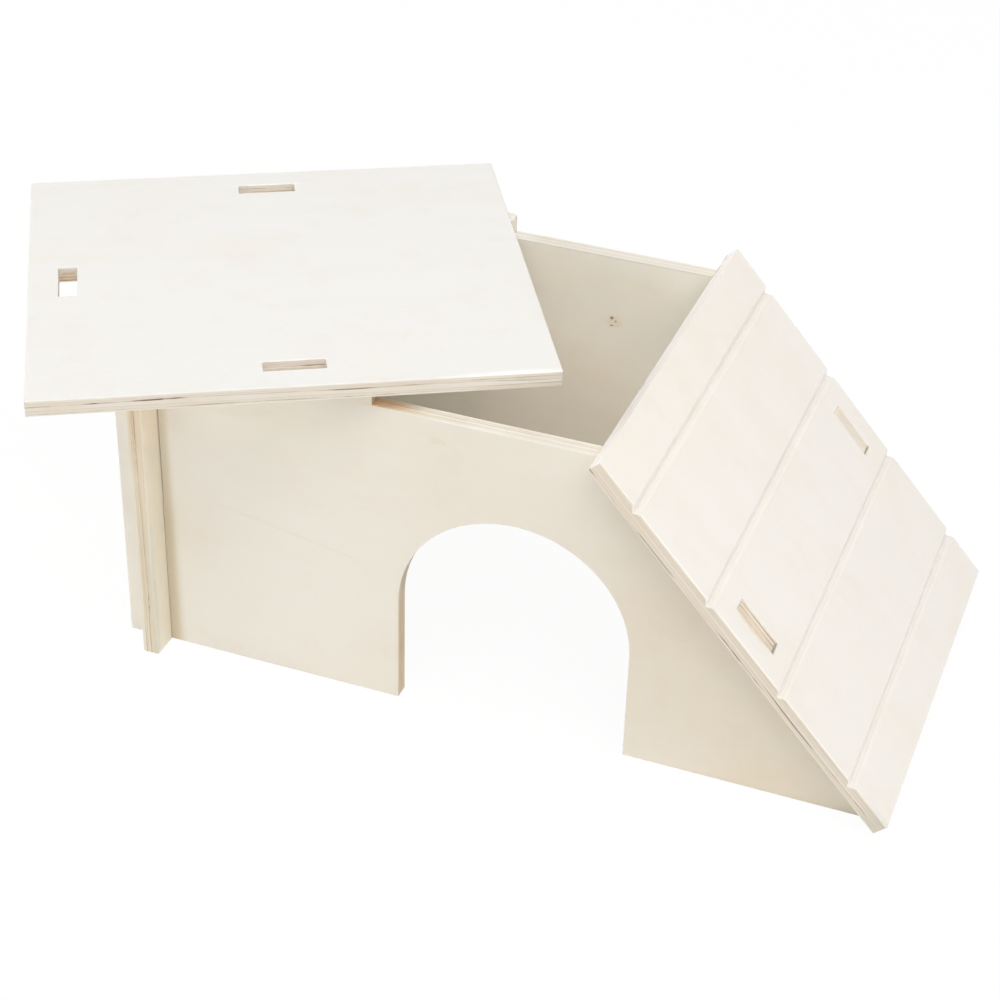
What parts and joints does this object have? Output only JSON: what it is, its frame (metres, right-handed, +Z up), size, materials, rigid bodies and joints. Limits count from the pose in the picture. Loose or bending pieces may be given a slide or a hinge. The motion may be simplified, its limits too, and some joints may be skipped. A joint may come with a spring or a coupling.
{
  "type": "hamster house",
  "caption": "Flat-pack plywood hamster house with an arched doorway, a loose lift-off roof board and a grooved ramp plugged onto a sloping end.",
  "frame": {"origin": "on the floor, where the middle planes of the front wall and the end wall cross, on the front wall's lower edge", "axes": "+X along the front wall towards the ramp, +Y from the front wall to the back wall, +Z up"},
  "size_m": [0.3103, 0.1926, 0.1135],
  "materials": {
    "plywood": "matt"
  },
  "bodies": {
    "walls": {"front_wall": "plywood", "back_wall": "plywood", "end_wall": "plywood"},
    "roof_board": {"roof": "plywood"},
    "ramp_board": {"ramp": "plywood"}
  },
  "joints": [
    {"name": "roof_lift", "type": "slide", "parent": "walls", "child": "roof_board", "axis": [0, 0, 1], "range_m": [0, 0.12]},
    {"name": "ramp_lift", "type": "slide", "parent": "walls", "child": "ramp_board", "axis": [0.7408, 0, 0.6717], "range_m": [0, 0.13]}
  ]
}
